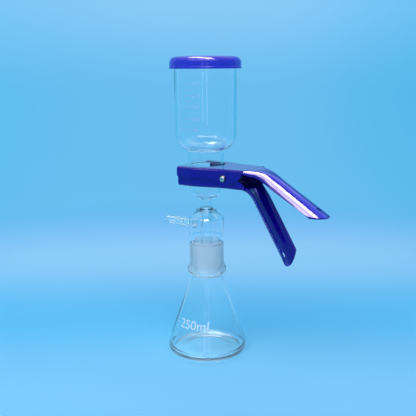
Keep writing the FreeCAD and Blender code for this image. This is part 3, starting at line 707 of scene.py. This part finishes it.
def wrapped(name, mesh, surface_r, angle, low_z, material):
    """Lays a flat piece of print (x along, y up, z out) round the glass: surface_r gives the
    glass's radius at a height, and angle is where x = 0 lies."""
    shape = bmesh.new()
    shape.from_mesh(mesh)
    low = min(v.co.x for v in shape.verts)
    high = max(v.co.x for v in shape.verts)
    cut = low + SLICE
    while cut < high:
        everything = shape.verts[:] + shape.edges[:] + shape.faces[:]
        bmesh.ops.bisect_plane(shape, geom=everything,
                               plane_co=(cut, 0, 0), plane_no=(1, 0, 0))
        cut += SLICE
    bmesh.ops.triangulate(shape, faces=shape.faces)
    for vert in shape.verts:
        z = low_z + vert.co.y
        radius = surface_r(z) + PRINT_LIFT + vert.co.z
        turn = angle + vert.co.x / surface_r(z)
        vert.co = Vector((radius * math.cos(turn), radius * math.sin(turn), z))
    bmesh.ops.remove_doubles(shape, verts=shape.verts, dist=WELD)
    bmesh.ops.recalc_face_normals(shape, faces=shape.faces)
    made = bpy.data.meshes.new(name)
    shape.to_mesh(made)
    shape.free()
    return finished(name, made, [material])


def words(text, height, width, weight=0.0):
    """Flat solid print of some generic characters, centred on x, its baseline on y = 0.  A weight
    above nought thickens the strokes."""
    curve = bpy.data.curves.new("print", "FONT")
    curve.body = text
    curve.align_x = "CENTER"
    curve.extrude = 0.5
    curve.offset = weight
    curve.resolution_u = 4
    holder = bpy.data.objects.new("print", curve)
    bpy.context.scene.collection.objects.link(holder)
    bpy.context.view_layer.update()
    evaluated = holder.evaluated_get(bpy.context.evaluated_depsgraph_get())
    mesh = bpy.data.meshes.new_from_object(evaluated)
    bpy.data.objects.remove(holder)
    xs = [v.co.x for v in mesh.vertices]
    ys = [v.co.y for v in mesh.vertices]
    middle = (max(xs) + min(xs)) / 2
    across = width / (max(xs) - min(xs))
    up = height / (max(ys) - min(ys))
    base = min(ys)
    for v in mesh.vertices:
        v.co = Vector(((v.co.x - middle) * across,
                       (v.co.y - base) * up,
                       (v.co.z + 0.5) * PRINT_THICK))
    return mesh


def line(length, width):
    """Flat solid print of a line, centred on x and y."""
    mesh = bpy.data.meshes.new("print_line")
    shape = bmesh.new()
    bmesh.ops.create_cube(shape, size=1.0)
    for v in shape.verts:
        v.co = Vector((v.co.x * length,
                       v.co.y * width,
                       (v.co.z + 0.5) * PRINT_THICK))
    shape.to_mesh(mesh)
    shape.free()
    return mesh


def joined(name, pieces):
    """One object from several of the same material."""
    shape = bmesh.new()
    for piece in pieces:
        shape.from_mesh(piece.data)
    mesh = bpy.data.meshes.new(name)
    shape.to_mesh(mesh)
    shape.free()
    material = pieces[0].data.materials[0]
    for piece in pieces:
        bpy.data.objects.remove(piece)
    return finished(name, mesh, [material])


def make_scale(enamel):
    """Graduations of the cup: a number and a line every 50 ml, with a short line between."""
    pieces = []

    def cup_r(z):
        return CUP_R

    def mark(flat, angle, z):
        pieces.append(wrapped("mark", flat, cup_r, angle, z, enamel))

    for i, volume in enumerate(VOLUMES):
        z = LABEL_LOW_Z + i * LABEL_STEP
        digits = str(volume)
        number = words(digits, LABEL_HEIGHT, LABEL_WIDTH * len(digits) / 3)
        mark(number, LABEL_ANGLE, z - LABEL_HEIGHT / 2)
        length = LONG_LINE_LENGTH if volume in LONG_VOLUMES else LINE_LENGTH
        mark(line(length, LINE_WIDTH), LINE_END - length / 2 / CUP_R, z)
        if i + 1 < len(VOLUMES):
            half_line = line(HALF_LINE_LENGTH, LINE_WIDTH)
            mark(half_line, LINE_END - HALF_LINE_REACH / CUP_R, z + LABEL_STEP / 2)
    return joined("cup_scale", pieces)


def make_flask_print(enamel):
    """Capacity of the flask and a tick before it, printed round its cone."""
    neck_r, neck_z = flask_cone()

    def cone_r(z):
        share = (z - SHOULDER_Z) / (neck_z - SHOULDER_Z)
        return BASE_R + share * (neck_r - BASE_R)

    capacity = words(CAPACITY, CAPACITY_HEIGHT, CAPACITY_WIDTH, CAPACITY_WEIGHT)
    text = wrapped("mark", capacity, cone_r, CAPACITY_ANGLE, CAPACITY_Z, enamel)
    tick = wrapped("mark", line(TICK_LENGTH, TICK_WIDTH), cone_r, TICK_ANGLE, TICK_Z, enamel)
    return joined("flask_print", [text, tick])


# ---------------------------------------------------------------- spring
WIRE_SHARP_ANGLE = math.radians(60)


def make_spring(steel):
    """The clamp's spring from its CAD mesh, with one leg along the upper jaw and the coil between
    the two, shaded smooth in its own material."""
    source = frame["nodes"]["torsion_spring"]
    mesh = source.data.copy()
    mesh.materials.clear()
    spring = finished("spring_wire", mesh, [steel], WIRE_SHARP_ANGLE)
    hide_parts("torsion_spring")
    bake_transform(spring)


# ---------------------------------------------------------------- camera
CAMERA_AZIMUTH = math.radians(36.5)
CAMERA_REACH = 0.7507
CAMERA_HEIGHT = 0.32718
CAMERA_PITCH = math.radians(11.901)
CAMERA_YAW = math.radians(-0.141)
CAMERA_ROLL = math.radians(-0.425)
CAMERA_LENS = 58.24
CAMERA_SENSOR = 36.0


def make_camera():
    """Camera at the photograph's angle, a little above the clamp and looking slightly down."""
    data = bpy.data.cameras.new("camera")
    data.lens = CAMERA_LENS
    data.sensor_width = CAMERA_SENSOR
    holder = bpy.data.objects.new("camera", data)
    bpy.context.scene.collection.objects.link(holder)
    heading = CAMERA_AZIMUTH + CAMERA_YAW
    forward = Vector((-math.sin(heading) * math.cos(CAMERA_PITCH),
                      math.cos(heading) * math.cos(CAMERA_PITCH),
                      -math.sin(CAMERA_PITCH)))
    right = forward.cross(Vector((0, 0, 1))).normalized()
    up = right.cross(forward)
    rolled_right = right * math.cos(CAMERA_ROLL) + up * math.sin(CAMERA_ROLL)
    rolled_up = up * math.cos(CAMERA_ROLL) - right * math.sin(CAMERA_ROLL)
    turn = Matrix((rolled_right, rolled_up, -forward)).transposed().to_4x4()
    place = Vector((math.sin(CAMERA_AZIMUTH) * CAMERA_REACH,
                    -math.cos(CAMERA_AZIMUTH) * CAMERA_REACH,
                    CAMERA_HEIGHT))
    holder.matrix_world = Matrix.Translation(place) @ turn
    bpy.context.scene.camera = holder


def seen_from_camera(right, up, towards):
    """Point at right, up and towards the camera from the origin, as the photograph is framed."""
    toward = Vector((math.sin(CAMERA_AZIMUTH), -math.cos(CAMERA_AZIMUTH), 0))
    aside = Vector((math.cos(CAMERA_AZIMUTH), math.sin(CAMERA_AZIMUTH), 0))
    return aside * right + toward * towards + Vector((0, 0, up))


# ---------------------------------------------------------------- stage
# Colour of the paper by distance behind the object; the dip at 0.08 is a painted soft shadow of the
# object
PAPER_AND_SHADOW = ((-0.50, (0.150, 0.530, 0.885)),
         (-0.17, (0.273, 0.640, 0.850)),
         (-0.08, (0.258, 0.620, 0.835)),
         (0.00, (0.206, 0.601, 0.825)),
         (0.08, (0.130, 0.575, 0.825)),
         (0.20, (0.200, 0.610, 0.840)),
         (0.31, (0.360, 0.695, 0.865)),
         (0.50, (0.420, 0.740, 0.895)),
         (0.80, (0.160, 0.535, 0.880)))
# Colour of the paper where it stands clear of the object's shadow, between these two reaches
PAPER_FAR = (0.150, 0.530, 0.885)
CLEAR_START = 0.45
CLEAR_END = 0.95
# What the paper's colour is multiplied by to the left and right
PAPER_SIDE = ((-0.85, (0.70, 0.96, 0.98)),
              (-0.30, (1.0, 1.0, 1.0)),
              (0.25, (1.0, 1.0, 1.0)),
              (0.50, (0.82, 0.96, 0.98)),
              (0.85, (0.50, 0.88, 0.95)))
# What it is multiplied by high up, between these two heights
PAPER_TOP = (1.80, 1.15, 1.09)
TOP_START = 0.22
TOP_END = 0.62
# Round bowl of the backdrop
STAGE_FLAT = 1.1
STAGE_SWEEP = 0.7
STAGE_WALL = 0.8
STAGE_STEPS = 96
SWEEP_STEPS = 12
STAGE_SHARP_ANGLE = math.radians(80)


def graded(nodes, links, place, way, table):
    """Colour that follows a table along a direction."""
    along = nodes.new("ShaderNodeVectorMath")
    along.operation = "DOT_PRODUCT"
    along.inputs[1].default_value = way
    links.new(place, along.inputs[0])
    share = nodes.new("ShaderNodeMapRange")
    low, high = table[0][0], table[-1][0]
    share.inputs["From Min"].default_value = low
    share.inputs["From Max"].default_value = high
    links.new(along.outputs["Value"], share.inputs["Value"])
    colours = nodes.new("ShaderNodeValToRGB")
    colours.color_ramp.interpolation = "B_SPLINE"
    for _ in table[2:]:
        colours.color_ramp.elements.new(0.5)
    # The ramp sorts its elements when one moves, so the colours come once all are in place
    for element, (reach, colour) in zip(colours.color_ramp.elements, table):
        element.position = (reach - low) / (high - low)
    for element, (reach, colour) in zip(colours.color_ramp.elements, table):
        element.color = (*colour, 1)
    links.new(share.outputs["Result"], colours.inputs["Fac"])
    return colours.outputs["Color"]


def times(nodes, links, a, b):
    """Product of two colours."""
    product = nodes.new("ShaderNodeMix")
    product.data_type = "RGBA"
    product.blend_type = "MULTIPLY"
    product.inputs["Factor"].default_value = 1.0
    links.new(a, product.inputs["A"])
    links.new(b, product.inputs["B"])
    return product.outputs["Result"]


def paler_above(nodes, links, place, colour):
    """The colour, paler toward the top of the backdrop."""
    parts = nodes.new("ShaderNodeSeparateXYZ")
    links.new(place, parts.inputs["Vector"])
    share = nodes.new("ShaderNodeMapRange")
    share.interpolation_type = "SMOOTHSTEP"
    share.inputs["From Min"].default_value = TOP_START
    share.inputs["From Max"].default_value = TOP_END
    links.new(parts.outputs["Z"], share.inputs["Value"])
    pale = nodes.new("ShaderNodeMix")
    pale.data_type = "RGBA"
    pale.blend_type = "MULTIPLY"
    pale.inputs["B"].default_value = (*PAPER_TOP, 1)
    links.new(share.outputs["Result"], pale.inputs["Factor"])
    links.new(colour, pale.inputs["A"])
    return pale.outputs["Result"]


def clear_of_object(nodes, links, place):
    """Nought near the object and one where the paper stands clear of it."""
    flat = nodes.new("ShaderNodeVectorMath")
    flat.operation = "MULTIPLY"
    flat.inputs[1].default_value = (1, 1, 0)
    away = nodes.new("ShaderNodeVectorMath")
    away.operation = "LENGTH"
    links.new(place, flat.inputs[0])
    links.new(flat.outputs["Vector"], away.inputs[0])
    clear = nodes.new("ShaderNodeMapRange")
    clear.interpolation_type = "SMOOTHSTEP"
    clear.inputs["From Min"].default_value = CLEAR_START
    clear.inputs["From Max"].default_value = CLEAR_END
    links.new(away.outputs["Value"], clear.inputs["Value"])
    return clear.outputs["Result"]


def paper_colour(nodes, links, place, clear):
    """Gently graded blue of the backdrop paper, with a soft shadow of the object painted in just
    behind it.
    """
    blend = nodes.new("ShaderNodeMix")
    blend.data_type = "RGBA"
    blend.inputs["B"].default_value = (*PAPER_FAR, 1)
    links.new(clear, blend.inputs["Factor"])
    links.new(graded(nodes, links, place, seen_from_camera(0, 0, -1), PAPER_AND_SHADOW), blend.inputs["A"])
    side = graded(nodes, links, place, seen_from_camera(1, 0, 0), PAPER_SIDE)
    colour = paler_above(nodes, links, place, times(nodes, links, blend.outputs["Result"], side))
    fibre = ramp(nodes, links, noise(nodes, links, 1.2, 1.0), (0.97, 0.97, 0.97), (1, 1, 1))
    return times(nodes, links, colour, fibre)


def backdrop_paper():
    """Matt paper.  Away from the object it keeps an even colour, seen directly or through the
    glass."""
    material, nodes, links, shader, output = new_material("backdrop_paper")
    place = nodes.new("ShaderNodeTexCoord").outputs["Object"]
    clear = clear_of_object(nodes, links, place)
    colour = paper_colour(nodes, links, place, clear)
    links.new(colour, shader.inputs["Base Color"])
    shader.inputs["Roughness"].default_value = 1.0
    shader.inputs["Specular IOR Level"].default_value = 0.0
    even = nodes.new("ShaderNodeEmission")
    links.new(colour, even.inputs["Color"])
    path = nodes.new("ShaderNodeLightPath")
    seen = nodes.new("ShaderNodeMath")
    seen.operation = "SUBTRACT"
    seen.use_clamp = True
    links.new(clear, seen.inputs[0])
    links.new(path.outputs["Is Diffuse Ray"], seen.inputs[1])
    mix = nodes.new("ShaderNodeMixShader")
    links.new(seen.outputs["Value"], mix.inputs["Fac"])
    links.new(shader.outputs["BSDF"], mix.inputs[1])
    links.new(even.outputs["Emission"], mix.inputs[2])
    links.new(mix.outputs["Shader"], output.inputs["Surface"])
    return material


def make_stage():
    """Round bowl: flat floor whose edge sweeps up into a wall all round."""
    outline = [(STAGE_FLAT * 0.5, 0.0), (STAGE_FLAT, 0.0)]
    for k in range(1, SWEEP_STEPS + 1):
        turn = math.pi / 2 * k / SWEEP_STEPS
        outline.append((STAGE_FLAT + STAGE_SWEEP * math.sin(turn),
                        STAGE_SWEEP * (1 - math.cos(turn))))
    outline.append((STAGE_FLAT + STAGE_SWEEP, STAGE_SWEEP + STAGE_WALL))
    shape = bmesh.new()
    rings = [[shape.verts.new((0, 0, 0))]]
    for radius, z in outline:
        ring = []
        for k in range(STAGE_STEPS):
            angle = 2 * math.pi * k / STAGE_STEPS
            x, y = radius * math.cos(angle), radius * math.sin(angle)
            ring.append(shape.verts.new((x, y, z)))
        rings.append(ring)
    for low, high in zip(rings, rings[1:]):
        for k in range(STAGE_STEPS):
            after = (k + 1) % STAGE_STEPS
            if len(low) == 1:
                shape.faces.new((low[0], high[k], high[after]))
            else:
                shape.faces.new((low[k], high[k], high[after], low[after]))
    mesh = bpy.data.meshes.new("backdrop")
    shape.to_mesh(mesh)
    shape.free()
    finished("backdrop", mesh, [backdrop_paper()], STAGE_SHARP_ANGLE)


# ---------------------------------------------------------------- light
AIM = Vector((0, 0, 0.2))
WHITE = (1.0, 0.965, 0.975)
WARM = (1.0, 0.94, 0.97)
SKY = (0.86, 0.94, 1.0)
SKY_STRENGTH = 0.8
# Lamps: name, place (right, up, towards the camera), size, radiance and colour
SOFTBOXES = (("key_softbox", (-0.12, 1.12, 0.62), (1.5, 0.7), 2.3, WHITE),
             ("back_softbox", (0.1, 1.3, -0.65), (1.3, 0.5), 1.0, WARM))
# Panels that only show in the gloss
GLOSS_PANELS = (("top_panel", (-0.03, 1.45, 0.02), (1.30, 0.40), 23.0, WARM),
                ("brow_panel", (-0.05, 1.15, 0.75), (0.5, 0.10), 8.0, WARM),
                ("left_panel", (-1.15, 0.45, -0.65), (0.08, 0.9), 0.7, WARM),
                ("right_panel", (1.15, 0.45, -0.65), (0.08, 0.9), 0.7, WARM))
# Panels that only show in the gloss, and not through the glass
FRONT_PANELS = (("front_left_panel", (-0.25, 0.32, 1.5), (0.11, 0.5), 1.7, WARM),
                ("front_right_panel", (0.15, 0.32, 1.5), (0.11, 0.5), 1.7, WARM))
# Panels that only show in the gloss of the clamp, and the first in the filter head's too; their
# places are x, y and z
CLAMP_PANELS = (("handle_panel", (0.18, -0.30, 1.36), (0.62, 1.40), 16.0, (1.0, 0.98, 0.95)),
                ("crown_panel", (0.46, 0.42, 1.19), (0.6, 0.6), 5.0, (0.08, 0.14, 1.0)),
                ("rear_panel", (0.0, 0.85, 1.06), (1.1, 0.4), 3.2, (0.10, 0.22, 1.0)))


def softbox(name, place, size, radiance, colour, lights_scene=True, through_glass=True):
    """Evenly bright panel turned to the object.  One that does not light the scene only shows in
    reflections.  Returns its object."""
    lamp = bpy.data.lights.new(name, "AREA")
    lamp.shape = "RECTANGLE"
    lamp.size, lamp.size_y = size
    lamp.energy = radiance * math.pi * size[0] * size[1]
    lamp.color = colour
    holder = bpy.data.objects.new(name, lamp)
    bpy.context.scene.collection.objects.link(holder)
    holder.location = place
    holder.rotation_euler = (AIM - Vector(place)).to_track_quat("-Z", "Y").to_euler()
    holder.visible_diffuse = lights_scene
    holder.visible_transmission = through_glass
    return holder


def light_only(panel, pieces):
    """Keeps the light and the reflection of a panel to some of the pieces."""
    receivers = bpy.data.collections.new(panel.name + "_receivers")
    for piece in pieces:
        receivers.objects.link(piece)
    panel.light_linking.receiver_collection = receivers


def make_light(head):
    """Overhead softboxes, panels that draw the gloss of the lid, clamp and glass, and an even
    sky."""
    for name, place, size, radiance, colour in SOFTBOXES:
        softbox(name, seen_from_camera(*place), size, radiance, colour)
    for name, place, size, radiance, colour in GLOSS_PANELS:
        softbox(name, seen_from_camera(*place), size, radiance, colour, lights_scene=False)
    for name, place, size, radiance, colour in FRONT_PANELS:
        softbox(name, seen_from_camera(*place), size, radiance, colour,
                lights_scene=False, through_glass=False)

    jaws = [frame["nodes"][node] for node in ("clamp_upper_jaw", "clamp_lower_jaw")]
    for name, place, size, radiance, colour in CLAMP_PANELS:
        panel = softbox(name, place, size, radiance, colour, lights_scene=False)
        light_only(panel, jaws + [head] if name == "handle_panel" else jaws)

    world = bpy.data.worlds.new("sky")
    bpy.context.scene.world = world
    world.use_nodes = True
    background = world.node_tree.nodes["Background"]
    background.inputs["Color"].default_value = (*SKY, 1)
    background.inputs["Strength"].default_value = SKY_STRENGTH


# ---------------------------------------------------------------- assembly
# Light is led round in thick glass many times before it comes out
LIGHT_BOUNCES = 64
CLEAR_BOUNCES = 32


def dress(node, material):
    """Gives a CAD node that stays in view its material."""
    mesh = frame["nodes"][node].data
    mesh.materials.clear()
    mesh.materials.append(material)


def place_glassware(glass, ground, worn):
    """Flask, filter head with its hose connection, and cup; returns the filter head."""
    flask = make_flask(glass, ground, worn)
    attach(flask, "unit")
    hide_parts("flask")

    head = make_head(glass, ground)
    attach(head, "unit")
    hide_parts("filter_head")
    arm = make_arm(glass)
    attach(arm, "unit")

    cup = make_cup(glass)
    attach(cup, "unit")
    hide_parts("funnel_cup")
    return head


def place_lid():
    """Lid, on the cup's rim."""
    lid = make_lid(lid_plastic())
    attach(lid, "unit")
    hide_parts("funnel_lid")


def place_marks():
    """Print on the cup, thin and pale, and on the flask."""
    faint = print_enamel("scale_enamel", (0.72, 0.62, 0.80), 0.42)
    white = print_enamel("capacity_enamel", (0.95, 0.96, 0.98), 1.0)
    for marks in (make_scale(faint), make_flask_print(white)):
        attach(marks, "unit")


def set_rendering():
    """Plain view of the colours, and enough bounces for the glass."""
    scene = bpy.context.scene
    scene.view_settings.view_transform = "Standard"
    scene.cycles.max_bounces = LIGHT_BOUNCES
    scene.cycles.transmission_bounces = LIGHT_BOUNCES
    scene.cycles.transparent_max_bounces = CLEAR_BOUNCES


def main():
    """Everything, in the order in which it is made."""
    glass = clear_glass()
    ground = ground_glass("ground_glass", GRINDING, GROUND_SHADE)
    worn = ground_glass("worn_glass", WEAR, GLASS_SHADE)
    paint = clamp_paint()
    steel = bright_steel()

    head = place_glassware(glass, ground, worn)
    place_lid()
    place_marks()
    dress("clamp_upper_jaw", paint)
    dress("clamp_lower_jaw", paint)
    dress("pivot_rivet", rivet_steel())
    dress("fritted_disc", sintered_glass())
    dress("membrane_filter", membrane_sheet())
    make_spring(steel)

    make_stage()
    make_light(head)
    make_camera()
    set_rendering()


main()
